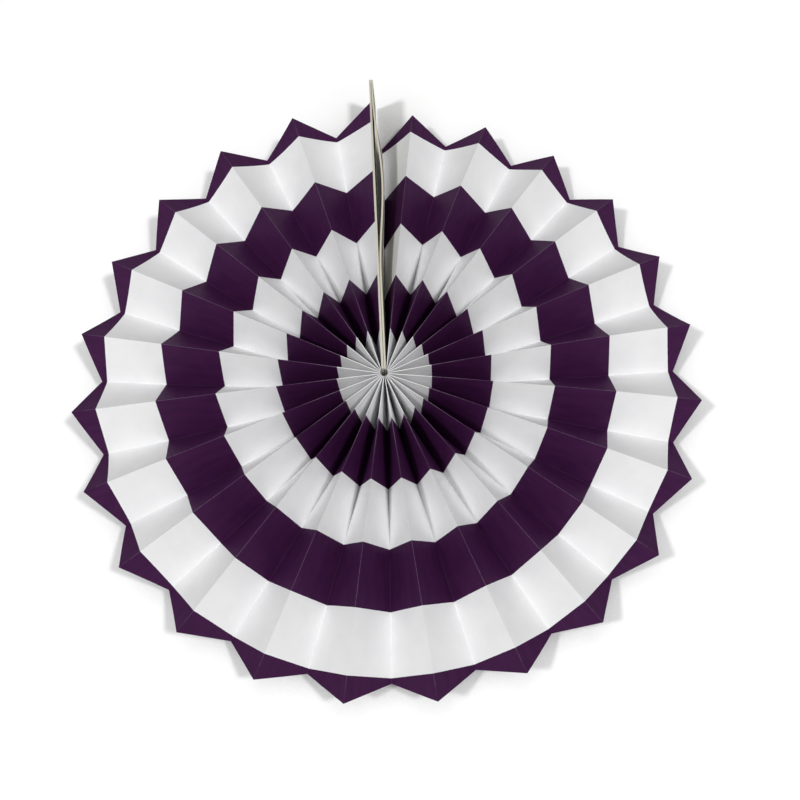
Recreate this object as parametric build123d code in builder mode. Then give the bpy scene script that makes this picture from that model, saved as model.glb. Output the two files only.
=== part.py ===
"""Paper fan rosette: a strip of paper, accordion-folded, opened into a disc and joined at two end cards.

The fan hangs upright in the XZ plane with its front towards -Y and the seam between its two end cards
straight up. It is drawn around its hub, and then set with its origin in the hole that it hangs by.
Sizes are in millimetres and angles in degrees.
"""

import os
from math import asin, cos, pi, radians, sin, sqrt

from build123d import *

# The folded sheet
front_folds = 24
fan_radius = 200.0
rim_drop = 12.5
last_fold_drop = 6.0
hub_radius = 2.5
paper_thickness = 0.2
flap_width = 8.0

# How far the pleats lean out of the plane of the disc at the rim
rim_lean = 30.7

# How the opened pleats wander from an even spread
pleat_drift = 2.4
pleat_wander = 0.44

# The two end cards
card_thickness = 1.2
card_overhang = 19.0
card_bow = 4.0
bow_start_radius = 70.0
bow_end_margin = 14.0

# Share of the bowed length at which each edge of the right card stands furthest off the left one
front_bow_share = 0.5
back_bow_share = 0.72

# The joining tape between the cards
tape_thickness = 0.2
tape_margin = 3.0
tape_start_radius = 12.0

# The thread that gathers the hub
thread_ring_radius = 8.0
thread_diameter = 0.6
thread_sides = 8
thread_clearance = 0.2

# The hole that the fan hangs by
hang_hole_diameter = 4.0
hang_hole_edge = 8.0

# Straight runs along each fold line, and along the bowed card beyond the sheet
fold_runs = 20
card_runs = 3

# Values that follow from the sizes above
fold_count = 2 * front_folds
panel_count = fold_count - 1
notch_radius = fan_radius - rim_drop
last_rim_radius = notch_radius - last_fold_drop
seam_half = tape_thickness / 2
card_face = seam_half + card_thickness
end_fold_offset = card_face + paper_thickness / 2
card_end_radius = fan_radius + card_overhang
bow_end_radius = card_end_radius - bow_end_margin
hang_hole_height = card_end_radius - hang_hole_edge


def even_chord(radius):
    """Distance between neighbouring folds on a circle round the hub."""
    step = (2 * pi - 2 * asin(end_fold_offset / radius)) / panel_count
    return 2 * radius * sin(step / 2)


panel_width = even_chord(fan_radius) / cos(radians(rim_lean))
half_width = panel_width / 2
rim_slope = rim_drop / panel_width


def bow(height, share):
    """How far an edge of the right card stands off the left one, furthest at that share of its bow."""
    peak = bow_start_radius + (bow_end_radius - bow_start_radius) * share
    foot = bow_start_radius if height < peak else bow_end_radius
    rise = max(0, (height - foot) / (peak - foot))
    return card_bow * rise**2 * (3 - 2 * rise)


def is_front(fold):
    """Odd folds stand at the front of the fan, and even ones at the back."""
    return fold % 2 == 1


def station_radii(fold):
    """Radii of the points along a fold, from the hub to the zigzag rim."""
    rim_radius = fan_radius if is_front(fold) else notch_radius
    if fold == fold_count:
        rim_radius = last_rim_radius
    run = (last_rim_radius - hub_radius) / fold_runs
    return [hub_radius + run * station for station in range(fold_runs)] + [rim_radius]


def disc_point(fold, radius):
    """Place of a fold on a circle round the hub, counted from the left card round to the right one."""
    share = (fold - 1) / panel_count
    first = asin(end_fold_offset / radius)
    drift = pleat_drift * sin(pi * share) + pleat_wander * sin(4 * pi * share)
    angle = first + (2 * pi - 2 * first) * share + radians(drift)
    return Vector(-radius * sin(angle), 0, radius * cos(angle))


def fold_point(fold, radius):
    """Place of a fold in the disc: straight from hub to rim, except along the bowed right card."""
    if fold == fold_count:
        return Vector(end_fold_offset + bow(radius, back_bow_share), 0, radius)
    hub = disc_point(fold, hub_radius)
    rim = disc_point(fold, fan_radius)
    return hub + (rim - hub) * ((radius - hub_radius) / (fan_radius - hub_radius))


def paper_depths(fold, radius):
    """Front and back of the paper at a fold, so that every panel keeps its width and the end folds
    run straight along the cards."""
    along = (radius - hub_radius) / (fan_radius - hub_radius)
    chord = even_chord(hub_radius) + (even_chord(fan_radius) - even_chord(hub_radius)) * along
    depth = sqrt(panel_width**2 - chord**2)
    share = (fold - 1) / panel_count
    middle = (panel_width - depth) / 2 * (2 * share - 1)
    run = chord * sqrt(panel_width**2 - paper_thickness**2) - depth * paper_thickness
    through = paper_thickness * run / (chord**2 - paper_thickness**2)
    if is_front(fold):
        return middle - depth / 2, middle - depth / 2 + through
    return middle + depth / 2 - through, middle + depth / 2


def fold_lines(fold):
    """Points along the front and back lines of the paper at one fold."""
    front_points = []
    back_points = []
    for radius in station_radii(fold):
        place = fold_point(fold, radius)
        front, back = paper_depths(fold, radius)
        front_points.append(place + Vector(0, front, 0))
        back_points.append(place + Vector(0, back, 0))
    return front_points, back_points


def strip_faces(one, other):
    """Flat three-cornered faces that fill the strip between two lines of points."""
    corners = []
    for start, end, next_start, next_end in zip(one, one[1:], other, other[1:]):
        corners += [(start, end, next_end), (start, next_end, next_start)]
    return [Face(Wire.make_polygon(corner)) for corner in corners]


folds = [fold_lines(fold) for fold in range(1, fold_count + 1)]
sheet_faces = strip_faces(*folds[0]) + strip_faces(*folds[-1])
for (front, back), (next_front, next_back) in zip(folds, folds[1:]):
    sheet_faces += strip_faces(front, next_front) + strip_faces(back, next_back)
    for end in (0, -1):
        sheet_faces += strip_faces((front[end], back[end]), (next_front[end], next_back[end]))


def card_line(offset, depth, heights):
    """Points along the bowed right card at an offset from the seam and at a depth."""
    lean = 0.5 + depth / panel_width
    points = []
    for height in heights:
        front = bow(height, front_bow_share)
        back = bow(height, back_bow_share)
        points.append(Vector(offset + front + (back - front) * lean, depth, height))
    return points


def strip_solid(lines):
    """A solid whose long edges are lines of points, given in order round it."""
    faces = []
    for one, other in zip(lines, lines[1:] + lines[:1]):
        faces += strip_faces(one, other)
    for end in (0, -1):
        faces.append(Face(Wire.make_polygon([line[end] for line in lines])))
    return Solid(Shell(faces))


paper_heights = station_radii(fold_count)
beyond_run = (bow_end_radius - last_rim_radius) / card_runs
beyond_heights = [last_rim_radius + beyond_run * run for run in range(1, card_runs + 1)]
card_heights = paper_heights + beyond_heights + [card_end_radius]
flap_depth = half_width - flap_width
flap_heights = paper_heights[:-1] + [last_rim_radius + rim_slope * flap_width]
flap_line = card_line(card_face, flap_depth, flap_heights + card_heights[len(paper_heights):])
card_back = card_line(card_face, half_width, card_heights)


def thread_ring(radius):
    """A ring of thread round the hub, with that radius of its own."""
    path = Edge.make_circle(thread_ring_radius, Plane.XZ)
    with BuildSketch(path.location_at(0)) as section:
        RegularPolygon(radius, thread_sides)
    return sweep(section.sketch, path=path)


with BuildPart() as thread_holes:
    add(thread_ring(thread_diameter / 2 + thread_clearance))

with BuildPart() as hang_hole:
    with BuildSketch(Plane.YZ):
        with Locations((0, hang_hole_height)):
            Circle(hang_hole_diameter / 2)
    extrude(amount=card_face, both=True)

right_flap = strip_solid(
    [
        flap_line[: len(flap_heights)],
        card_back[: len(paper_heights)],
        card_line(card_face + paper_thickness, half_width, paper_heights),
        card_line(card_face + paper_thickness, flap_depth, flap_heights),
    ]
)

with BuildPart() as pleated_paper:
    add(Solid(Shell(sheet_faces)))
    with BuildSketch(Plane.YZ.offset(-card_face)):
        with BuildLine():
            Polyline(
                (-half_width, hub_radius),
                (-half_width, fan_radius),
                (flap_width - half_width, fan_radius - rim_slope * flap_width),
                (flap_width - half_width, hub_radius),
                close=True,
            )
        make_face()
    extrude(amount=-paper_thickness)
    add(right_flap)
    add(thread_holes.part, mode=Mode.SUBTRACT)
pleated_paper.part.label = "pleated_paper"

with BuildPart() as left_card:
    with BuildSketch(Plane.XZ):
        with BuildLine():
            Polyline(
                (-seam_half, hub_radius),
                (-seam_half, card_end_radius),
                (-card_face, card_end_radius),
                (-card_face, hub_radius),
                close=True,
            )
        make_face()
    extrude(amount=half_width, both=True)
    add(thread_holes.part, mode=Mode.SUBTRACT)
    add(hang_hole.part, mode=Mode.SUBTRACT)
left_card.part.label = "left_card"

with BuildPart() as right_card:
    add(
        strip_solid(
            [
                card_line(seam_half, -half_width, card_heights),
                card_line(card_face, -half_width, card_heights),
                flap_line,
                card_back,
                card_line(seam_half, half_width, card_heights),
            ]
        )
    )
    add(thread_holes.part, mode=Mode.SUBTRACT)
    add(hang_hole.part, mode=Mode.SUBTRACT)
right_card.part.label = "right_card"

with BuildPart() as joining_tape:
    for low, high in (
        (tape_start_radius, bow_start_radius - tape_margin),
        (bow_end_radius, card_end_radius - tape_margin),
    ):
        with BuildSketch(Plane.YZ.offset(-seam_half)):
            with Locations((0, (low + high) / 2)):
                Rectangle(panel_width - 2 * tape_margin, high - low)
        extrude(amount=tape_thickness)
    add(hang_hole.part, mode=Mode.SUBTRACT)
joining_tape.part.label = "joining_tape"

with BuildPart() as centre_thread:
    add(thread_ring(thread_diameter / 2))
centre_thread.part.label = "centre_thread"

os.makedirs("parts", exist_ok=True)
for piece in (pleated_paper, left_card, right_card, joining_tape, centre_thread):
    hung = piece.part.moved(Location((0, 0, -hang_hole_height)))
    export_step(hung, f"parts/{hung.label}.step")
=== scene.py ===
"""Paper fan rosette on a white wall: the folded sheet, its two end cards, the tape and the gathering thread.

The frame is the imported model's own: metres, +Z up, the front of the fan towards -Y and the origin in the
hanging hole. The sheet is folded again here from the sizes of the solid, with finer panels, rounded folds
and a printed finish.
"""

from __future__ import annotations

import logging
import math
import random
from dataclasses import dataclass, field
from enum import Enum

import bmesh
import bpy
import numpy as np
from mathutils import Matrix, Vector


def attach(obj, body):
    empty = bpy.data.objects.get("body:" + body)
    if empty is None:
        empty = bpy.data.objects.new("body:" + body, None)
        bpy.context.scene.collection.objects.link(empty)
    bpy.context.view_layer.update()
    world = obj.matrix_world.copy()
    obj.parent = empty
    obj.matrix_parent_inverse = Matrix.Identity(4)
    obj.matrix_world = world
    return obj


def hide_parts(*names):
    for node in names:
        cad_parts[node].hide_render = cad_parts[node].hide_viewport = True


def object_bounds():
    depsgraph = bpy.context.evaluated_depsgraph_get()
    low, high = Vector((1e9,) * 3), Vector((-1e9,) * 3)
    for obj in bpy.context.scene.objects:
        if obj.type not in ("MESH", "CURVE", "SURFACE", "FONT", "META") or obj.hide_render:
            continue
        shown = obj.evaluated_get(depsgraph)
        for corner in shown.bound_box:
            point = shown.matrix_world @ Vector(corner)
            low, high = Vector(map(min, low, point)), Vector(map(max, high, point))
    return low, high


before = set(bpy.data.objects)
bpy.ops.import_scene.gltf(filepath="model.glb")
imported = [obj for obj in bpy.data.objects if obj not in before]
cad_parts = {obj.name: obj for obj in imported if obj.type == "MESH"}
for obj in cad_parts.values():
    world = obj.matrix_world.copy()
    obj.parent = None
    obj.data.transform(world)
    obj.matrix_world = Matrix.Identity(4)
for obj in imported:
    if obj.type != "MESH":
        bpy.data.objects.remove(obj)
cad_box = [list(corner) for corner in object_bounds()]

log = logging.getLogger("paper_fan")

MM = 0.001
ROOT = "root"
Colour = tuple[float, float, float, float]
Triple = tuple[float, float, float]


class Node(Enum):
    """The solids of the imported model, by name."""

    SHEET = "pleated_paper"
    LEFT_CARD = "left_card"
    RIGHT_CARD = "right_card"
    TAPE = "joining_tape"
    THREAD = "centre_thread"


class Slot(Enum):
    """Names of material slots, which the pieces built here don't use."""

    PAPER = "printed_paper"
    CARD = "greyboard"
    THREAD = "thread"


class Side(Enum):
    """The two faces of the sheet."""

    FRONT = 0
    BACK = 1


class SheetFinish(Enum):
    """The sheet's finishes, in the order in which it is dressed with them."""

    PRINT = 0
    CUT_EDGE = 1


@dataclass(frozen=True)
class FanSizes:
    """Sizes of the folded fan in millimetres and degrees, measured from its hub."""

    front_folds: int = 24
    fan_radius: float = 200.0
    rim_drop: float = 12.5
    last_fold_drop: float = 6.0
    hub_radius: float = 2.5
    paper_thickness: float = 0.2
    flap_width: float = 8.0
    rim_lean: float = 30.7
    pleat_drift: float = 2.4
    pleat_wander: float = 0.44
    card_thickness: float = 1.2
    card_overhang: float = 19.0
    card_bow: float = 4.0
    bow_start_radius: float = 70.0
    bow_end_margin: float = 14.0
    front_bow_share: float = 0.5
    back_bow_share: float = 0.72
    tape_thickness: float = 0.2
    thread_ring_radius: float = 8.0
    thread_diameter: float = 0.6
    hang_hole_edge: float = 8.0

    @property
    def fold_count(self) -> int:
        """Folds round the disc, front and back ones together."""
        return 2 * self.front_folds

    @property
    def panel_count(self) -> int:
        """Flat panels between the folds."""
        return self.fold_count - 1

    @property
    def notch_radius(self) -> float:
        """Radius of the back folds at the zigzag rim."""
        return self.fan_radius - self.rim_drop

    @property
    def last_rim_radius(self) -> float:
        """Radius of the last fold, along the right card, at the rim."""
        return self.notch_radius - self.last_fold_drop

    @property
    def card_face(self) -> float:
        """Distance of each card's outer face from the middle of the seam."""
        return self.tape_thickness / 2 + self.card_thickness

    @property
    def end_fold_offset(self) -> float:
        """Distance of the first and last folds from the middle of the seam."""
        return self.card_face + self.paper_thickness / 2

    @property
    def card_end_radius(self) -> float:
        """Height of the cards' top ends above the hub."""
        return self.fan_radius + self.card_overhang

    @property
    def bow_end_radius(self) -> float:
        """Height above the hub at which the right card comes back to the left one."""
        return self.card_end_radius - self.bow_end_margin

    @property
    def hub_height(self) -> float:
        """Height of the hub in the model's frame, below the hanging hole."""
        return self.hang_hole_edge - self.card_end_radius

    @property
    def panel_width(self) -> float:
        """Distance between neighbouring folds along the paper."""
        return float(self.even_chord(self.fan_radius)) / math.cos(math.radians(self.rim_lean))

    @property
    def strip_size(self) -> tuple[float, float]:
        """Width and length of the strip before it is folded, with its two flaps."""
        return self.fan_radius - self.hub_radius, self.panel_count * self.panel_width + 2 * self.flap_width

    @property
    def strip_area(self) -> float:
        """Area of the strip before it is folded, without the notches of its zigzag edge."""
        width, length = self.strip_size
        return (width - self.rim_drop / 2) * length

    def even_chord(self, radius: np.ndarray | float) -> np.ndarray:
        """Distance between neighbouring folds on a circle round the hub."""
        step = (2 * np.pi - 2 * np.arcsin(self.end_fold_offset / np.asarray(radius))) / self.panel_count
        return 2 * np.asarray(radius) * np.sin(step / 2)

    def edge_bow(self, height: np.ndarray, share: float) -> np.ndarray:
        """How far an edge of the right card stands off the left one, furthest at that share of its bow."""
        peak = self.bow_start_radius + (self.bow_end_radius - self.bow_start_radius) * share
        foot = np.where(height < peak, self.bow_start_radius, self.bow_end_radius)
        rise = np.clip((height - foot) / (peak - foot), 0, 1)
        return self.card_bow * rise * rise * (3 - 2 * rise)

    def bow(self, height: np.ndarray, depth: np.ndarray | float) -> np.ndarray:
        """How far the twisted right card stands off the left one.

        Args:
            height: Height above the hub.
            depth: Depth from the middle of the card, towards its back edge.

        Returns:
            The distance, in the same shape as the heights.
        """
        front = self.edge_bow(height, self.front_bow_share)
        back = self.edge_bow(height, self.back_bow_share)
        return front + (back - front) * (0.5 + depth / self.panel_width)


@dataclass
class MeshParts:
    """Points, faces and the points' own values of a mesh while it is put together."""

    points: list[np.ndarray] = field(default_factory=list)
    faces: list[tuple[int, ...]] = field(default_factory=list)
    finishes: list[int] = field(default_factory=list)
    strip: list[np.ndarray] = field(default_factory=list)
    ridge: list[np.ndarray] = field(default_factory=list)
    count: int = 0

    def add_grid(self, points: np.ndarray, strip: np.ndarray, ridge: np.ndarray, flip: bool,
                 finish: SheetFinish = SheetFinish.PRINT) -> None:
        """Adds a grid of four-cornered faces.

        Args:
            points: Places in millimetres, by row and column.
            strip: Place of each point on the flat strip in millimetres, along and across the folds.
            ridge: 1 on folds that stand towards this face of the sheet, -1 on those that fall away.
            flip: Turns the faces over.
            finish: The finish that the faces take.
        """
        rows, columns = points.shape[:2]
        index = self.count + np.arange(rows * columns).reshape(rows, columns)
        corners = np.stack([index[:-1, :-1], index[:-1, 1:], index[1:, 1:], index[1:, :-1]], -1)
        corners = corners.reshape(-1, 4)
        if flip:
            corners = corners[:, ::-1]
        self.points.append(points.reshape(-1, 3))
        self.strip.append(strip.reshape(-1, 2))
        self.ridge.append(ridge.reshape(-1))
        self.faces += [tuple(int(i) for i in corner) for corner in corners]
        self.finishes += [finish.value] * len(corners)
        self.count += rows * columns

    def add_edge(self, one: np.ndarray, other: np.ndarray, strip: np.ndarray, flip: bool) -> None:
        """Adds the bare cut edge between two lines of points on the sheet's two faces.

        Args:
            one: Places along one face, in millimetres.
            other: Places along the other face.
            strip: Place of each point on the flat strip.
            flip: Turns the faces over.
        """
        edge = np.stack([one, other])
        self.add_grid(edge, np.stack([strip] * 2), np.zeros(edge.shape[:2]), flip, SheetFinish.CUT_EDGE)

    def mesh(self, name: str, weld: float) -> bpy.types.Mesh:
        """Makes the mesh, in metres.

        Args:
            name: Name of the mesh.
            weld: Points nearer to each other than this, in metres, become one.

        Returns:
            The mesh, with a UV map "strip" in metres and a point value "ridge".
        """
        mesh = bpy.data.meshes.new(name)
        points = np.concatenate(self.points) * MM
        mesh.from_pydata(points.tolist(), [], self.faces)
        mesh.polygons.foreach_set("material_index", self.finishes)
        mesh.polygons.foreach_set("use_smooth", [True] * len(self.faces))
        uv = mesh.uv_layers.new(name="strip")
        corner_points = np.empty(len(mesh.loops), dtype=np.int32)
        mesh.loops.foreach_get("vertex_index", corner_points)
        uv.data.foreach_set("uv", (np.concatenate(self.strip)[corner_points] * MM).ravel())
        ridge = mesh.attributes.new("ridge", "FLOAT", "POINT")
        ridge.data.foreach_set("value", np.concatenate(self.ridge).astype(np.float32))
        work = bmesh.new()
        work.from_mesh(mesh)
        bmesh.ops.remove_doubles(work, verts=work.verts, dist=weld)
        bmesh.ops.recalc_face_normals(work, faces=work.faces)
        work.to_mesh(mesh)
        work.free()
        return mesh


def new_piece(name: str, mesh: bpy.types.Mesh) -> bpy.types.Object:
    """An object with that mesh, linked into the scene."""
    piece = bpy.data.objects.new(name, mesh)
    bpy.context.scene.collection.objects.link(piece)
    return piece


class NodeSheet:
    """A node tree that is filled with short calls."""

    def __init__(self, tree: bpy.types.NodeTree) -> None:
        """Starts from an emptied tree."""
        self.tree = tree
        tree.nodes.clear()

    def add(self, kind: str, **settings: object) -> bpy.types.Node:
        """Adds a node and sets its properties."""
        node = self.tree.nodes.new(kind)
        for name, value in settings.items():
            setattr(node, name, value)
        return node

    def feed(self, socket: bpy.types.NodeSocket, value: object) -> None:
        """Links a socket to another node's output, or sets it to a plain value."""
        if isinstance(value, bpy.types.NodeSocket):
            self.tree.links.new(value, socket)
        else:
            socket.default_value = value

    def math(self, operation: str, *values: object, clamp: bool = False) -> bpy.types.NodeSocket:
        """A Math node on up to three values."""
        node = self.add("ShaderNodeMath", operation=operation, use_clamp=clamp)
        for socket, value in zip(node.inputs, values):
            self.feed(socket, value)
        return node.outputs[0]

    def mix(self, share: object, first: object, second: object) -> bpy.types.NodeSocket:
        """A colour between two colours."""
        node = self.add("ShaderNodeMix", data_type="RGBA")
        self.feed(node.inputs["Factor"], share)
        self.feed(node.inputs["A"], first)
        self.feed(node.inputs["B"], second)
        return node.outputs["Result"]

    def blend(self, share: object, low: object, high: object) -> bpy.types.NodeSocket:
        """A value between two values."""
        node = self.add("ShaderNodeMix", data_type="FLOAT")
        self.feed(node.inputs["Factor"], share)
        self.feed(node.inputs["A"], low)
        self.feed(node.inputs["B"], high)
        return node.outputs["Result"]

    def ramp(self, value: object, low: float, high: float, to_low: float = 0.0,
             to_high: float = 1.0) -> bpy.types.NodeSocket:
        """A value carried smoothly from one range to another, and held at its ends."""
        node = self.add("ShaderNodeMapRange", interpolation_type="SMOOTHSTEP", clamp=True)
        self.feed(node.inputs["Value"], value)
        for name, setting in (("From Min", low), ("From Max", high), ("To Min", to_low), ("To Max", to_high)):
            node.inputs[name].default_value = setting
        return node.outputs["Result"]

    def noise(self, place: object, scale: float, detail: float = 3.0,
              roughness: float = 0.55) -> bpy.types.NodeSocket:
        """Noise between 0 and 1 at a place in metres."""
        node = self.add("ShaderNodeTexNoise")
        self.feed(node.inputs["Vector"], place)
        node.inputs["Scale"].default_value = scale
        node.inputs["Detail"].default_value = detail
        node.inputs["Roughness"].default_value = roughness
        return node.outputs["Fac"]

    def stretched(self, place: object, scale: Triple) -> bpy.types.NodeSocket:
        """A place scaled by its own amount along each axis."""
        node = self.add("ShaderNodeMapping")
        self.feed(node.inputs["Vector"], place)
        node.inputs["Scale"].default_value = scale
        return node.outputs["Vector"]

    def part(self, place: object, axis: str) -> bpy.types.NodeSocket:
        """One of a place's three parts."""
        node = self.add("ShaderNodeSeparateXYZ")
        self.feed(node.inputs[0], place)
        return node.outputs[axis]

    def grain(self, height: object, strength: float, depth: float) -> bpy.types.NodeSocket:
        """A normal roughened by a height, with its depth in millimetres."""
        node = self.add("ShaderNodeBump")
        node.inputs["Strength"].default_value = strength
        node.inputs["Distance"].default_value = depth * MM
        self.feed(node.inputs["Height"], height)
        return node.outputs["Normal"]

    def show(self, shader: bpy.types.Node) -> None:
        """Shows a shader on the surface."""
        self.feed(self.add("ShaderNodeOutputMaterial").inputs["Surface"], shader.outputs[0])

    def paint(self, values: dict[str, object]) -> None:
        """Shows a Principled shader whose sockets take those values by name."""
        shader = self.add("ShaderNodeBsdfPrincipled")
        for name, value in values.items():
            self.feed(shader.inputs[name], value)
        self.show(shader)

    def use(self, group: bpy.types.NodeTree, **values: object) -> bpy.types.Node:
        """Places a node group and feeds its inputs by name."""
        node = self.add("ShaderNodeGroup")
        node.node_tree = group
        for name, value in values.items():
            self.feed(node.inputs[name], value)
        return node


def new_group(name: str, inputs: dict[str, str], outputs: dict[str, str]) -> tuple[NodeSheet, dict, dict]:
    """Makes an empty shader node group.

    Args:
        name: Name of the group.
        inputs: Socket type of each input, by name.
        outputs: Socket type of each output, by name.

    Returns:
        The group's sheet, its inputs as sockets to read, and its outputs as sockets to feed.
    """
    tree = bpy.data.node_groups.new(name, "ShaderNodeTree")
    for way, sockets in (("INPUT", inputs), ("OUTPUT", outputs)):
        for socket_name, kind in sockets.items():
            tree.interface.new_socket(socket_name, in_out=way, socket_type=kind)
    sheet = NodeSheet(tree)
    start = sheet.add("NodeGroupInput")
    end = sheet.add("NodeGroupOutput")
    given = {socket_name: start.outputs[socket_name] for socket_name in inputs}
    result = {socket_name: end.inputs[socket_name] for socket_name in outputs}
    return sheet, given, result


def new_finish(name: str) -> tuple[bpy.types.Material, NodeSheet]:
    """A material with that name, and its emptied node sheet."""
    material = bpy.data.materials.new(name)
    material.use_nodes = True
    return material, NodeSheet(material.node_tree)


@dataclass
class PulpGroup:
    """The look of pressed paper pulp, shared by the sheet, its cut edges, the cards and the tape."""

    fine_detail: float = 4.0
    fine_roughness: float = 0.6
    fibre_stretch: Triple = (0.16, 0.9, 0.9)
    fibre_detail: float = 2.0
    fibre_share: float = 0.7
    cloud_scale: float = 0.018
    fleck_stretch: Triple = (0.08, 0.34, 0.34)
    fleck_detail: float = 1.0
    fleck_from: float = 0.68
    fleck_full: float = 0.78
    tree: bpy.types.NodeTree = field(init=False)

    def __post_init__(self) -> None:
        """Builds the node group once."""
        sheet, given, result = new_group(
            "pressed_pulp",
            {"Place": "NodeSocketVector", "Fibre": "NodeSocketFloat"},
            {"Height": "NodeSocketFloat", "Cloud": "NodeSocketFloat", "Fleck": "NodeSocketFloat"},
        )
        scaled = sheet.add("ShaderNodeVectorMath", operation="SCALE")
        sheet.feed(scaled.inputs[0], given["Place"])
        sheet.feed(scaled.inputs["Scale"], given["Fibre"])
        place = scaled.outputs[0]
        fine = sheet.noise(place, 1.0, self.fine_detail, self.fine_roughness)
        long_fibres = sheet.noise(sheet.stretched(place, self.fibre_stretch), 1.0, self.fibre_detail)
        sheet.feed(result["Height"], sheet.math("MULTIPLY_ADD", long_fibres, self.fibre_share, fine))
        sheet.feed(result["Cloud"], sheet.noise(place, self.cloud_scale))
        specks = sheet.noise(sheet.stretched(place, self.fleck_stretch), 1.0, self.fleck_detail)
        sheet.feed(result["Fleck"], sheet.ramp(specks, self.fleck_from, self.fleck_full))
        self.tree = sheet.tree


@dataclass(frozen=True)
class PrintedPaper:
    """Matt white paper printed with stripes across the strip, worn along its folds.

    Lengths are in millimetres, and the scales of its noise count per metre.
    """

    white: Colour = (0.89, 0.89, 0.895, 1.0)
    white_dull: Colour = (0.85, 0.85, 0.86, 1.0)
    dull_from: float = 0.35
    dull_full: float = 0.7
    ink: Colour = (0.036, 0.0055, 0.040, 1.0)
    ink_light: Colour = (0.050, 0.0095, 0.054, 1.0)
    light_from: float = 0.3
    light_full: float = 0.8
    streak_stretch: Triple = (0.25, 1.0, 1.0)
    streak_scale: float = 210.0
    streak_share: float = 0.7
    cloud_share: float = 0.4
    stripe_start: float = 30.3
    stripe_width: float = 38.5
    bleed: float = 0.15
    bleed_scale: float = 900.0
    bleed_detail: float = 2.0
    cracked: Colour = (0.24, 0.17, 0.25, 1.0)
    mountain_crack: float = 0.36
    valley_crack: float = 0.30
    crack_core: float = 0.25
    break_stretch: Triple = (1.0, 0.35, 1.0)
    break_scale: float = 420.0
    break_roughness: float = 0.7
    break_from: float = 0.3
    break_full: float = 0.55
    least_crack: float = 0.35
    wear_start: float = 120.0
    wear_end: float = 195.0
    inner_wear: float = 0.7
    rim_wear: float = 0.3
    valley_wear: float = 0.2
    fibre: float = 2400.0
    grain_strength: float = 0.35
    grain_depth: float = 0.03
    white_roughness: float = 0.85
    ink_roughness: float = 0.62
    specular: float = 0.12

    def material(self, pulp: PulpGroup, panel_width: float) -> bpy.types.Material:
        """Makes the material.

        Args:
            pulp: The shared look of paper pulp.
            panel_width: Distance between folds in millimetres.

        Returns:
            The material, which reads the UV map "strip" and the point value "ridge".
        """
        material, sheet = new_finish("printed_paper")
        strip = sheet.add("ShaderNodeUVMap", uv_map="strip").outputs["UV"]
        look = sheet.use(pulp.tree, Place=strip, Fibre=self.fibre)
        ragged = sheet.noise(strip, self.bleed_scale, self.bleed_detail)
        bleed = sheet.math("MULTIPLY_ADD", ragged, 2 * self.bleed * MM, -self.bleed * MM)
        along = sheet.math("ADD", sheet.part(strip, "X"), bleed)
        inked = self.stripes(sheet, along)
        streaks = sheet.noise(sheet.stretched(strip, self.streak_stretch), self.streak_scale)
        clouds = sheet.math("MULTIPLY", look.outputs["Cloud"], self.cloud_share)
        ink_share = sheet.math("MULTIPLY_ADD", streaks, self.streak_share, clouds)
        ink = sheet.mix(sheet.ramp(ink_share, self.light_from, self.light_full), self.ink, self.ink_light)
        dull = sheet.ramp(look.outputs["Cloud"], self.dull_from, self.dull_full)
        printed = sheet.mix(inked, sheet.mix(dull, self.white, self.white_dull), ink)
        worn = self.wear(sheet, strip, along, panel_width)
        colour = sheet.mix(sheet.math("MULTIPLY", worn, inked), printed, self.cracked)
        sheet.paint({
            "Base Color": colour,
            "Roughness": sheet.blend(inked, self.white_roughness, self.ink_roughness),
            "Normal": sheet.grain(look.outputs["Height"], self.grain_strength, self.grain_depth),
            "Specular IOR Level": self.specular,
        })
        return material

    def stripes(self, sheet: NodeSheet, along: object) -> bpy.types.NodeSocket:
        """1 on the inked stripes and 0 on the bare ones, by the distance along the folds."""
        from_start = sheet.math("SUBTRACT", along, self.stripe_start * MM)
        count = sheet.math("FLOOR", sheet.math("DIVIDE", from_start, self.stripe_width * MM))
        return sheet.math("LESS_THAN", sheet.math("FLOORED_MODULO", count, 2.0), 0.5)

    def wear(self, sheet: NodeSheet, strip: object, along: object,
             panel_width: float) -> bpy.types.NodeSocket:
        """Masks the lines of cracked ink along all folds, which fade towards the rim on mountain folds.

        Args:
            sheet: The material's node sheet.
            strip: Place on the flat strip in metres.
            along: Distance along the folds in metres.
            panel_width: Distance between folds in millimetres.

        Returns:
            How far the ink is cracked, from 0 to 1.
        """
        ridge = sheet.add("ShaderNodeAttribute", attribute_name="ridge").outputs["Fac"]
        broken = sheet.noise(sheet.stretched(strip, self.break_stretch), self.break_scale,
                             roughness=self.break_roughness)
        mountain = self.fold_mask(sheet, ridge, broken, panel_width, self.mountain_crack, 1.0)
        valley = self.fold_mask(sheet, ridge, broken, panel_width, self.valley_crack, -1.0)
        handled = sheet.ramp(along, self.wear_start * MM, self.wear_end * MM, self.inner_wear, self.rim_wear)
        return sheet.math("MAXIMUM", sheet.math("MULTIPLY", mountain, handled),
                          sheet.math("MULTIPLY", valley, self.valley_wear))

    def fold_mask(self, sheet: NodeSheet, ridge: object, broken: object, panel_width: float, crack: float,
                  way: float) -> bpy.types.NodeSocket:
        """Masks the broken line of cracked ink along one kind of fold.

        Args:
            sheet: The material's node sheet.
            ridge: The point value that is 1 on mountain folds and -1 on valley folds.
            broken: Noise that breaks the line up.
            panel_width: Distance between folds in millimetres.
            crack: Half the width of the line in millimetres.
            way: 1 for mountain folds and -1 for valley folds.

        Returns:
            1 on the cracked line and 0 off it.
        """
        away = sheet.math("MULTIPLY_ADD", ridge, -way * panel_width / 2, panel_width / 2)
        near = sheet.ramp(away, self.crack_core * crack, crack, 1.0, 0.0)
        whole = sheet.ramp(broken, self.break_from, self.break_full, self.least_crack)
        return sheet.math("MULTIPLY", near, whole)


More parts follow.
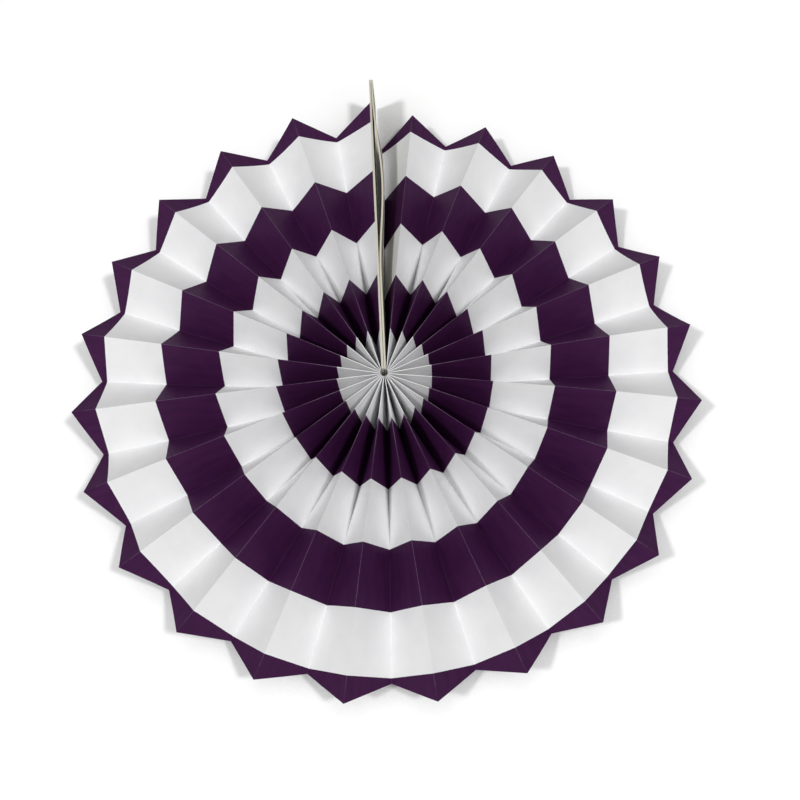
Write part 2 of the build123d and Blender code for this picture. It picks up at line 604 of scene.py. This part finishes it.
@dataclass(frozen=True)
class CutPaper:
    """The bare white core of the paper along its cut edges."""

    core: Colour = (0.80, 0.79, 0.78, 1.0)
    dirt: Colour = (0.62, 0.60, 0.60, 1.0)
    fibre: float = 3000.0
    roughness: float = 0.9
    specular: float = 0.2

    def material(self, pulp: PulpGroup) -> bpy.types.Material:
        """Makes the material from the shared look of paper pulp."""
        material, sheet = new_finish("cut_paper")
        strip = sheet.add("ShaderNodeUVMap", uv_map="strip").outputs["UV"]
        look = sheet.use(pulp.tree, Place=strip, Fibre=self.fibre)
        sheet.paint({
            "Base Color": sheet.mix(look.outputs["Cloud"], self.core, self.dirt),
            "Roughness": self.roughness,
            "Specular IOR Level": self.specular,
        })
        return material


@dataclass(frozen=True)
class Pasteboard:
    """Grey pasteboard with fibrous faces and pale, layered cut edges; the faces' grey is the board's own,
    darkened further by painted shade.
    """

    # Face colours: the board's own grey, partly painted shade, made darker for the shade in the seam between
    # the cards.
    face: Colour = (0.31, 0.30, 0.235, 1.0)
    face_dark: Colour = (0.21, 0.205, 0.16, 1.0)
    face_from: float = 0.55
    face_full: float = 0.85
    edge: Colour = (0.70, 0.66, 0.54, 1.0)
    edge_dull: Colour = (0.55, 0.51, 0.42, 1.0)
    fleck: Colour = (0.16, 0.15, 0.12, 1.0)
    fleck_share: float = 0.6
    layer: float = 0.3
    layer_share: float = 0.18
    fibre: float = 1500.0
    fibre_stretch: Triple = (1.0, 1.0, 0.5)
    grain_strength: float = 0.5
    grain_depth: float = 0.06
    smooth: float = 0.8
    rough: float = 0.95
    specular: float = 0.2

    def material(self, pulp: PulpGroup) -> bpy.types.Material:
        """Makes the material from the shared look of paper pulp."""
        material, sheet = new_finish("pasteboard")
        geometry = sheet.add("ShaderNodeNewGeometry")
        place = geometry.outputs["Position"]
        look = sheet.use(pulp.tree, Place=sheet.stretched(place, self.fibre_stretch), Fibre=self.fibre)
        facing = sheet.math("ABSOLUTE", sheet.part(geometry.outputs["Normal"], "X"))
        on_face = sheet.ramp(facing, self.face_from, self.face_full)
        through = sheet.math("MULTIPLY", sheet.part(place, "X"), 2 * math.pi / (self.layer * MM))
        edge_share = sheet.math("MULTIPLY_ADD", sheet.math("SINE", through), self.layer_share,
                                look.outputs["Cloud"], clamp=True)
        edge = sheet.mix(edge_share, self.edge, self.edge_dull)
        # The faces' grey with its painted shade, varied at random by the pulp's clouds.
        face = sheet.mix(look.outputs["Cloud"], self.face, self.face_dark)
        flecked = sheet.mix(sheet.math("MULTIPLY", look.outputs["Fleck"], self.fleck_share), face, self.fleck)
        sheet.paint({
            "Base Color": sheet.mix(on_face, edge, flecked),
            "Roughness": sheet.blend(look.outputs["Cloud"], self.smooth, self.rough),
            "Normal": sheet.grain(look.outputs["Height"], self.grain_strength, self.grain_depth),
            "Specular IOR Level": self.specular,
        })
        return material


@dataclass(frozen=True)
class TissueTape:
    """Double-sided tissue tape, a little yellowed by its glue."""

    film: Colour = (0.74, 0.71, 0.62, 1.0)
    glue: Colour = (0.60, 0.55, 0.42, 1.0)
    fibre: float = 1200.0
    smooth: float = 0.35
    rough: float = 0.6

    def material(self, pulp: PulpGroup) -> bpy.types.Material:
        """Makes the material from the shared look of paper pulp."""
        material, sheet = new_finish("tissue_tape")
        place = sheet.add("ShaderNodeNewGeometry").outputs["Position"]
        look = sheet.use(pulp.tree, Place=place, Fibre=self.fibre)
        share = sheet.math("MAXIMUM", look.outputs["Cloud"], look.outputs["Fleck"])
        sheet.paint({
            "Base Color": sheet.mix(share, self.film, self.glue),
            "Roughness": sheet.blend(look.outputs["Cloud"], self.smooth, self.rough),
        })
        return material


@dataclass(frozen=True)
class CottonThread:
    """White cotton thread with fuzzy plies, mottled at random by fine noise between its light and shade
    colours.
    """

    light: Colour = (0.80, 0.79, 0.75, 1.0)
    shade: Colour = (0.58, 0.56, 0.52, 1.0)
    fuzz_scale: float = 6000.0
    roughness: float = 0.9
    sheen: float = 0.3

    def material(self) -> bpy.types.Material:
        """Makes the material."""
        material, sheet = new_finish("cotton_thread")
        place = sheet.add("ShaderNodeNewGeometry").outputs["Position"]
        fuzz = sheet.noise(place, self.fuzz_scale)
        sheet.paint({
            "Base Color": sheet.mix(fuzz, self.light, self.shade),
            "Roughness": self.roughness,
            "Sheen Weight": self.sheen,
        })
        return material


@dataclass
class PleatedSheet:
    """The accordion-folded sheet, opened into a disc, with its glue flaps on the end cards.

    Lengths are in millimetres and angles in degrees, apart from the weld in metres.
    """

    sizes: FanSizes
    rows: int = 46
    rim_rows: int = 5
    hub_bias: float = 1.25
    fold_bead: float = 0.24
    bead_full_chord: float = 3.0
    bead_gone_chord: float = 9.0
    bead_chord_share: float = 0.42
    bulge: float = 0.55
    bulge_fade: float = 1.5
    bulge_seed: int = 11
    flap_columns: int = 5
    weld: float = 2e-7
    sharp_angle: float = 28.0
    half_columns: tuple[float, ...] = (0.0, 0.05, 0.13, 0.26, 0.55, 1.4, 4.0, 8.5)

    def columns(self) -> np.ndarray:
        """Shares of the panel's width at which it has points, closer together near both folds."""
        near = np.array(self.half_columns) / self.sizes.panel_width
        return np.concatenate([near, [0.5], 1 - near[::-1]])

    def radii(self, fold: int) -> np.ndarray:
        """Radii of the points along a fold, from the hub to the zigzag rim."""
        sizes = self.sizes
        steps = np.linspace(0, 1, self.rows) ** self.hub_bias
        shared = sizes.hub_radius + (sizes.notch_radius - sizes.hub_radius) * steps
        rim = sizes.fan_radius if fold % 2 == 1 else sizes.notch_radius
        if fold == sizes.fold_count:
            rim = sizes.last_rim_radius
        start = shared[-self.rim_rows]
        shared[-self.rim_rows:] = np.linspace(start, rim, self.rim_rows)
        return shared

    def disc_point(self, fold: int, radius: float) -> np.ndarray:
        """Place of a fold on a circle round the hub, counted from the left card round to the right one."""
        sizes = self.sizes
        share = (fold - 1) / sizes.panel_count
        first = math.asin(sizes.end_fold_offset / radius)
        drift = sizes.pleat_drift * math.sin(math.pi * share)
        drift += sizes.pleat_wander * math.sin(4 * math.pi * share)
        angle = first + (2 * math.pi - 2 * first) * share + math.radians(drift)
        return np.array([-radius * math.sin(angle), 0.0, radius * math.cos(angle)])

    def fold_places(self, fold: int, radii: np.ndarray) -> np.ndarray:
        """Places of a fold in the plane of the disc, straight except along the bowed right card."""
        sizes = self.sizes
        if fold == sizes.fold_count:
            aside = sizes.end_fold_offset + sizes.bow(radii, sizes.panel_width / 2)
            return np.stack([aside, np.zeros_like(radii), radii], -1)
        hub = self.disc_point(fold, sizes.hub_radius)
        rim = self.disc_point(fold, sizes.fan_radius)
        share = (radii - sizes.hub_radius) / (sizes.fan_radius - sizes.hub_radius)
        return hub + (rim - hub) * share[:, None]

    def fold_lines(self, fold: int) -> tuple[np.ndarray, np.ndarray, np.ndarray]:
        """The paper's two faces along one fold.

        Args:
            fold: Number of the fold, from 1 at the left card.

        Returns:
            Points of the front face, points of the back face, and the chord to the next fold.
        """
        sizes = self.sizes
        radii = self.radii(fold)
        width, paper = sizes.panel_width, sizes.paper_thickness
        along = (radii - sizes.hub_radius) / (sizes.fan_radius - sizes.hub_radius)
        hub_chord = sizes.even_chord(sizes.hub_radius)
        chord = hub_chord + (sizes.even_chord(sizes.fan_radius) - hub_chord) * along
        depth = np.sqrt(width**2 - chord**2)
        middle = (width - depth) / 2 * (2 * (fold - 1) / sizes.panel_count - 1)
        run = chord * math.sqrt(width**2 - paper**2) - depth * paper
        through = paper * run / (chord**2 - paper**2)
        if fold % 2 == 1:
            front, back = middle - depth / 2, middle - depth / 2 + through
        else:
            front, back = middle + depth / 2 - through, middle + depth / 2
        place = self.fold_places(fold, radii)
        sideways = np.zeros_like(place)
        sideways[:, 1] = 1.0
        return place + sideways * front[:, None], place + sideways * back[:, None], chord

    def bead(self, chord: np.ndarray, away: np.ndarray) -> np.ndarray:
        """How far the rounded fold widens the closed pleat near the hub.

        Args:
            chord: Distance between folds at each row, as a column.
            away: Distance from the fold at each column, as a row.

        Returns:
            Distance by which each point moves out from the fold's own plane.
        """
        radius = np.minimum(self.fold_bead, self.bead_chord_share * chord)
        fade = np.clip((self.bead_gone_chord - chord) / (self.bead_gone_chord - self.bead_full_chord), 0, 1)
        into = np.clip(away / radius, 0, 1)
        rounded = radius * np.sqrt(1 - (1 - into) ** 2)
        plain = chord * away / self.sizes.panel_width
        return np.maximum(rounded - plain, 0) * fade

    def panel(self, parts: MeshParts, fold: int, lines: list[tuple[np.ndarray, ...]], bulge: float) -> None:
        """Adds one panel's two faces and its cut edges.

        Args:
            parts: The mesh in the making.
            fold: Number of the fold that the panel starts from.
            lines: The sheet's faces along every fold.
            bulge: How far the middle of the panel stands off the straight line between its folds.
        """
        sizes = self.sizes
        share = self.columns()[None, :, None]
        across = self.columns()[None, :]
        here, there = lines[fold - 1], lines[fold]
        chord = here[2][:, None]
        along = self.radii(fold)[:, None] * (1 - across) + self.radii(fold + 1)[:, None] * across
        if fold == sizes.panel_count:
            along = along + sizes.last_fold_drop * across
        strip = np.stack([along, (fold + across) * sizes.panel_width + 0 * along], -1)
        reach = there[0] - here[0]
        chord_way = reach * np.array([1.0, 0.0, 1.0])
        chord_way /= np.linalg.norm(chord_way, axis=1)[:, None]
        out = np.cross(reach, np.gradient(here[0], axis=0))
        out /= np.linalg.norm(out, axis=1)[:, None]
        opened = np.clip(chord / sizes.panel_width, 0, 1) ** self.bulge_fade
        swell = bulge * np.sin(np.pi * across) * opened
        mountain_first = fold % 2 == 1
        faces = []
        for side in Side:
            grid = here[side.value][:, None, :] * (1 - share) + there[side.value][:, None, :] * share
            stands_first = mountain_first == (side is Side.FRONT)
            away = (across if stands_first else 1 - across) * sizes.panel_width
            widen = self.bead(chord, away) * (1.0 if stands_first else -1.0)
            grid = grid + chord_way[:, None, :] * widen[..., None] + out[:, None, :] * swell[..., None]
            ridge = (1 - 2 * across if stands_first else 2 * across - 1) + 0 * along
            parts.add_grid(grid, strip, ridge, flip=side is Side.BACK)
            faces.append(grid)
        for row in (0, -1):
            parts.add_edge(faces[0][row], faces[1][row], strip[row], flip=row == 0)

    def flap(self, parts: MeshParts, right: bool) -> None:
        """Adds the narrow strip at one end of the sheet that is glued to the end card.

        Args:
            parts: The mesh in the making.
            right: True for the right card's flap, which lies at the back of the fan.
        """
        sizes = self.sizes
        half = sizes.panel_width / 2
        slope = sizes.rim_drop / sizes.panel_width
        share = np.linspace(0, 1, self.flap_columns)
        start_rim = sizes.last_rim_radius if right else sizes.fan_radius
        rim = start_rim + (slope if right else -slope) * share * sizes.flap_width
        rows = np.linspace(0, 1, self.rows)[:, None]
        height = sizes.hub_radius + (rim - sizes.hub_radius) * rows
        depth = (half - share * sizes.flap_width if right else share * sizes.flap_width - half) + 0 * height
        offset = sizes.card_face + sizes.bow(height, depth) if right else -sizes.card_face + 0 * height
        outward = sizes.paper_thickness if right else -sizes.paper_thickness
        inner = np.stack([offset, depth, height], -1)
        outer = np.stack([offset + outward, depth, height], -1)
        fold = sizes.fold_count if right else 0
        along = height + (sizes.last_fold_drop if right else 0.0)
        strip = np.stack([along, (fold + 1 - share) * sizes.panel_width + 0 * height], -1)
        ridge = np.zeros_like(height)
        parts.add_grid(inner, strip, ridge, flip=False)
        parts.add_grid(outer, strip, ridge, flip=True)
        for end in (0, -1):
            parts.add_edge(inner[end], outer[end], strip[end], flip=end == 0)
        for end in (0, -1):
            parts.add_edge(inner[:, end], outer[:, end], strip[:, end], flip=end == 0)

    def build(self) -> bpy.types.Object:
        """Folds the sheet and sets it in the place of its solid."""
        sizes = self.sizes
        lines = [self.fold_lines(fold) for fold in range(1, sizes.fold_count + 1)]
        draw = random.Random(self.bulge_seed)
        parts = MeshParts()
        for fold in range(1, sizes.fold_count):
            self.panel(parts, fold, lines, self.bulge * draw.uniform(-1, 1))
        for front, back, _ in (lines[0], lines[-1]):
            parts.add_edge(front, back, np.zeros((self.rows, 2)), flip=False)
        for right in (False, True):
            self.flap(parts, right)
        for points in parts.points:
            points[:, 2] += sizes.hub_height
        mesh = parts.mesh("folded_sheet", self.weld)
        mesh.set_sharp_from_angle(angle=math.radians(self.sharp_angle))
        piece = new_piece("folded_sheet", mesh)
        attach(piece, ROOT)
        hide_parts(Node.SHEET.value)
        width, length = sizes.strip_size
        sizes.strip_area * MM * MM
        return piece

    def dress(self, piece: bpy.types.Object, pulp: PulpGroup) -> None:
        """Gives the sheet its print and its bare cut edges."""
        piece.data.materials.append(PrintedPaper().material(pulp, self.sizes.panel_width))
        piece.data.materials.append(CutPaper().material(pulp))


@dataclass
class EndCards:
    """The two stiff cards that the ends of the sheet are glued to.

    Lengths are in millimetres and angles in degrees, apart from the weld in metres.
    """

    softening: float = 0.16
    rounds: int = 2
    corner_angle: float = 40.0
    flat_angle: float = 1.0
    roundness: float = 0.5
    weld: float = 1e-6

    def build(self, node: Node) -> bpy.types.Object:
        """Makes a card with softened edges in the place of its solid.

        Args:
            node: The solid that the card stands for.

        Returns:
            The card.
        """
        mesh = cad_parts[node.value].data.copy()
        mesh.name = f"{node.value}_board"
        mesh.materials.clear()
        work = bmesh.new()
        work.from_mesh(mesh)
        bmesh.ops.remove_doubles(work, verts=work.verts, dist=self.weld)
        bmesh.ops.dissolve_limit(work, angle_limit=math.radians(self.flat_angle), verts=work.verts,
                                 edges=work.edges)
        sharp = [edge for edge in work.edges
                 if edge.is_manifold and edge.calc_face_angle() > math.radians(self.corner_angle)]
        bmesh.ops.bevel(work, geom=sharp, offset=self.softening * MM, segments=self.rounds,
                        profile=self.roundness, affect="EDGES", clamp_overlap=True)
        work.to_mesh(mesh)
        work.free()
        mesh.polygons.foreach_set("use_smooth", [True] * len(mesh.polygons))
        mesh.set_sharp_from_angle(angle=math.radians(self.corner_angle))
        piece = new_piece(f"{node.value}_board", mesh)
        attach(piece, ROOT)
        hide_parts(node.value)
        return piece

    def dress(self, pieces: list[bpy.types.Object], pulp: PulpGroup) -> None:
        """Gives both cards the same board."""
        board = Pasteboard().material(pulp)
        for piece in pieces:
            piece.data.materials.append(board)


@dataclass
class GatheringThread:
    """The twisted thread that runs through every panel round the hub."""

    sizes: FanSizes
    plies: int = 2
    twists: int = 46
    around: int = 8
    along: int = 460
    ply_share: float = 0.54

    def build(self) -> bpy.types.Object:
        """Lays the twisted plies round the ring in the place of its solid."""
        sizes = self.sizes
        ply = sizes.thread_diameter / 2 * self.ply_share
        lay = sizes.thread_diameter / 2 - ply
        turn = np.linspace(0, 2 * np.pi, self.along, endpoint=False)
        outward = np.stack([np.cos(turn), np.zeros_like(turn), np.sin(turn)], -1)
        axial = np.array([0.0, 1.0, 0.0])
        around = np.linspace(0, 2 * np.pi, self.around, endpoint=False)
        points, faces = [], []
        for strand in range(self.plies):
            phase = self.twists * turn + 2 * np.pi * strand / self.plies
            centre = outward * (sizes.thread_ring_radius + lay * np.cos(phase))[:, None]
            centre = centre + axial * (lay * np.sin(phase))[:, None]
            ring = outward[:, None, :] * np.cos(around)[None, :, None]
            ring = ring + axial[None, None, :] * np.sin(around)[None, :, None]
            index = len(points) * self.along * self.around
            index = index + np.arange(self.along * self.around).reshape(self.along, self.around)
            step = np.roll(index, -1, 0)
            corners = np.stack([index, step, np.roll(step, -1, 1), np.roll(index, -1, 1)], -1)
            faces += corners.reshape(-1, 4).tolist()
            points.append((centre[:, None, :] + ring * ply).reshape(-1, 3))
        places = np.concatenate(points)
        places[:, 2] += sizes.hub_height
        mesh = bpy.data.meshes.new("gathering_thread")
        mesh.from_pydata((places * MM).tolist(), [], faces)
        mesh.polygons.foreach_set("use_smooth", [True] * len(mesh.polygons))
        piece = new_piece("gathering_thread", mesh)
        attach(piece, ROOT)
        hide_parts(Node.THREAD.value)
        return piece

    def dress(self, piece: bpy.types.Object) -> None:
        """Gives the thread its cotton."""
        piece.data.materials.append(CottonThread().material())


@dataclass
class JoiningTape:
    """The two pads of tape between the cards, which keep their solids."""

    def dress(self, pulp: PulpGroup) -> bpy.types.Object:
        """Gives the pads their tissue and returns them."""
        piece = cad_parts[Node.TAPE.value]
        piece.data.materials.clear()
        piece.data.materials.append(TissueTape().material(pulp))
        return piece


@dataclass
class Studio:
    """White wall, pale floor, soft light and the camera.

    Lengths are in metres, apart from the wall's gap and the lens in millimetres.
    """

    wall_gap: float = 6.0
    wall_half_width: float = 2.5
    wall_top: float = 2.0
    floor_height: float = -1.3
    wall_white: float = 1.12
    floor_white: float = 1.9
    shadow_reach: float = 0.05
    shadow_open: float = 1.02
    shadow_dark: float = 0.03
    shadow_samples: int = 8
    ambient: float = 0.3
    ambient_tilt: float = 0.8
    lamp_power: float = 42.0
    lamp_size: float = 0.4
    lamp_places: tuple[Triple, ...] = (
        (-1.69, -3.0, -0.66), (1.41, -3.0, -0.66), (-2.0, 2.8, -0.66), (2.0, 2.8, -0.66))
    camera_place: Triple = (0.0217, -0.5673, -0.4114)
    camera_right: Triple = (0.9981, 0.0386, -0.0481)
    camera_up: Triple = (0.0577, -0.3105, 0.9488)
    lens: float = 41.94
    near_clip: float = 0.01

    def plane(self, name: str, corners: list[Triple]) -> bpy.types.Object:
        """A flat stage piece with those corners."""
        mesh = bpy.data.meshes.new(name)
        mesh.from_pydata(corners, [], [tuple(range(len(corners)))])
        piece = new_piece(name, mesh)
        return piece

    def stage_material(self, name: str, white_level: float) -> bpy.types.Material:
        """White that shows only to the camera, from its front, and keeps the lamps' shadow, with painted
        shade that darkens it close to the fan.

        Args:
            name: Name for the material.
            white_level: Its colour in the open, as a share of white.

        Returns:
            The material.
        """
        material, sheet = new_finish(name)
        near = sheet.add("ShaderNodeAmbientOcclusion", samples=self.shadow_samples)
        near.inputs["Distance"].default_value = self.shadow_reach
        # Painted shade: ambient occlusion darkens the stage's colour down to shadow_dark where the fan stands
        # close.
        level = sheet.ramp(near.outputs["AO"], 0.0, self.shadow_open, self.shadow_dark, white_level)
        white = sheet.add("ShaderNodeBsdfDiffuse")
        sheet.feed(white.inputs["Color"], level)
        clear = sheet.add("ShaderNodeBsdfTransparent")
        seen = sheet.add("ShaderNodeLightPath").outputs["Is Camera Ray"]
        behind = sheet.add("ShaderNodeNewGeometry").outputs["Backfacing"]
        shown = sheet.math("MULTIPLY", seen, sheet.math("SUBTRACT", 1.0, behind))
        blend = sheet.add("ShaderNodeMixShader")
        sheet.feed(blend.inputs["Fac"], shown)
        sheet.feed(blend.inputs[1], clear.outputs[0])
        sheet.feed(blend.inputs[2], white.outputs[0])
        sheet.show(blend)
        return material

    def set_stage(self, back: float) -> None:
        """Sets up the wall and the floor.

        Args:
            back: How far back the fan reaches, in metres.
        """
        wall_place = back + self.wall_gap * MM
        side, top, low = self.wall_half_width, self.wall_top, self.floor_height
        wall = self.plane("white_wall", [(-side, wall_place, low), (side, wall_place, low),
                                         (side, wall_place, top), (-side, wall_place, top)])
        floor = self.plane("pale_floor", [(-side, -side, low), (side, -side, low),
                                          (side, wall_place, low), (-side, wall_place, low)])
        for piece, white_level in ((wall, self.wall_white), (floor, self.floor_white)):
            piece.data.materials.append(self.stage_material(piece.name, white_level))

    def set_light(self) -> None:
        """Sets up light from all round, stronger from the floor, and two lamps in front and two behind."""
        world = bpy.data.worlds.new("studio")
        bpy.context.scene.world = world
        world.use_nodes = True
        sheet = NodeSheet(world.node_tree)
        path = sheet.add("ShaderNodeLightPath")
        seen = sheet.math("MAXIMUM", path.outputs["Is Camera Ray"], path.outputs["Is Glossy Ray"])
        seen = sheet.math("MAXIMUM", seen, path.outputs["Is Transmission Ray"])
        upward = sheet.part(sheet.add("ShaderNodeTexCoord").outputs["Generated"], "Z")
        around = sheet.math("MULTIPLY_ADD", upward, -self.ambient * self.ambient_tilt, self.ambient)
        background = sheet.add("ShaderNodeBackground")
        background.inputs["Color"].default_value = (1.0, 1.0, 1.0, 1.0)
        sheet.feed(background.inputs["Strength"], sheet.blend(seen, around, 1.0))
        sheet.feed(sheet.add("ShaderNodeOutputWorld").inputs["Surface"], background.outputs[0])
        hub = Vector((0, 0, FanSizes().hub_height * MM))
        for number, place in enumerate(self.lamp_places, 1):
            light = bpy.data.lights.new(f"soft_lamp_{number}", "AREA")
            light.shape = "DISK"
            light.size = self.lamp_size
            light.energy = self.lamp_power
            lamp = bpy.data.objects.new(light.name, light)
            bpy.context.scene.collection.objects.link(lamp)
            lamp.location = place
            lamp.rotation_euler = (hub - lamp.location).to_track_quat("-Z", "Y").to_euler()

    def set_camera(self) -> None:
        """Sets up the camera at the photograph's viewing angle."""
        data = bpy.data.cameras.new("camera")
        data.lens = self.lens
        data.sensor_fit = "HORIZONTAL"
        data.clip_start = self.near_clip
        camera = bpy.data.objects.new("camera", data)
        bpy.context.scene.collection.objects.link(camera)
        right = Vector(self.camera_right).normalized()
        back = right.cross(Vector(self.camera_up)).normalized()
        up = back.cross(right)
        turn = Matrix((right, up, back)).transposed().to_4x4()
        camera.matrix_world = Matrix.Translation(self.camera_place) @ turn
        bpy.context.scene.camera = camera

    def build(self) -> None:
        """Sets up the whole studio."""
        bpy.context.scene.view_settings.view_transform = "Standard"
        self.set_stage(cad_box[1][1])
        self.set_light()
        self.set_camera()


def main() -> None:
    """Builds the fan's pieces in order, dresses them and sets up the studio."""
    logging.basicConfig(level=logging.INFO, format="%(name)s: %(message)s")
    sizes = FanSizes()
    pulp = PulpGroup()
    sheet = PleatedSheet(sizes)
    folded = sheet.build()
    sheet.dress(folded, pulp)
    log.info("folded sheet: %d faces", len(folded.data.polygons))
    cards = EndCards()
    boards = [cards.build(node) for node in (Node.LEFT_CARD, Node.RIGHT_CARD)]
    cards.dress(boards, pulp)
    log.info("end cards: %s", [len(board.data.polygons) for board in boards])
    thread = GatheringThread(sizes)
    ring = thread.build()
    thread.dress(ring)
    log.info("gathering thread: %d faces", len(ring.data.polygons))
    tape = JoiningTape().dress(pulp)
    log.info("joining tape: %s", tape.name)
    Studio().build()


if __name__ == "__main__":
    main()
